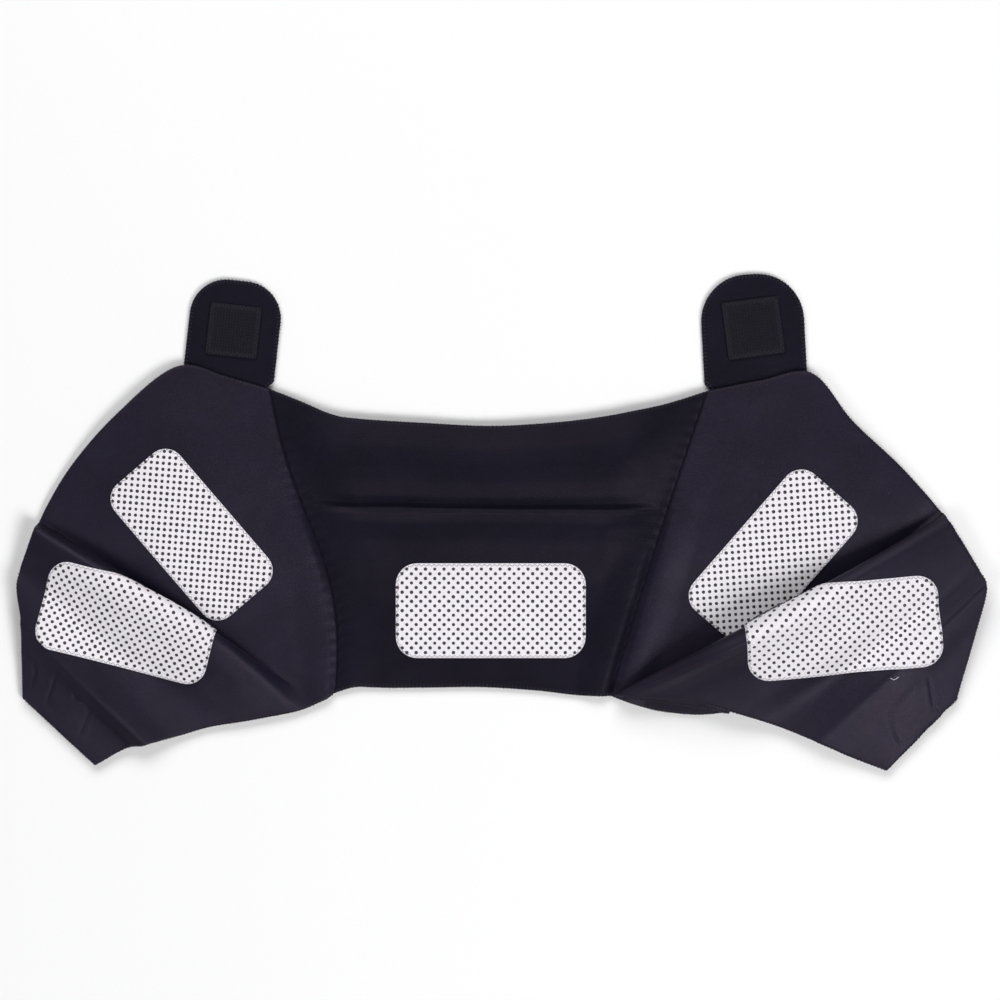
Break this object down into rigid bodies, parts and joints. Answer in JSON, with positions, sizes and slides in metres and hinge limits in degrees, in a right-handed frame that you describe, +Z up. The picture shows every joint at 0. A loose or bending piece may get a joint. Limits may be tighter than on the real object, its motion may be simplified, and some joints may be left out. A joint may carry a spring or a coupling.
{
  "type": "shoulder brace",
  "caption": "Soft cloth shoulder brace laid open: a back panel, a pleated wing at each side, closing tabs with hook patches, and dotted pads inside.",
  "frame": {"origin": "middle of the brace's box, on the surface it lies on", "axes": "+X across the brace from the picture's left wing to its right wing, +Y from the neck edge towards the closing tabs, +Z up out of the inner side"},
  "size_m": [0.4992, 0.2562, 0.0332],
  "materials": {
    "wing_cloth": "soft black stretch cloth with a faint violet cast, matte with a slight sheen",
    "back_cloth": "soft black stretch cloth, matte",
    "pad_cloth": "white cloth with rows of small dark raised dots, matte",
    "hook_tape": "woven black hook and loop tape, matte, with a lighter sewn border"
  },
  "bodies": {
    "root": {"left_wing": "wing_cloth", "right_wing": "wing_cloth", "back_panel": "back_cloth", "center_pad": "pad_cloth", "left_upper_pad": "pad_cloth", "left_lower_pad": "pad_cloth", "right_upper_pad": "pad_cloth", "right_lower_pad": "pad_cloth", "left_loop_patch": "hook_tape", "right_loop_patch": "hook_tape", "left_tab": "back_cloth", "right_tab": "back_cloth", "left_hook_patch": "hook_tape", "right_hook_patch": "hook_tape"}
  },
  "joints": []
}
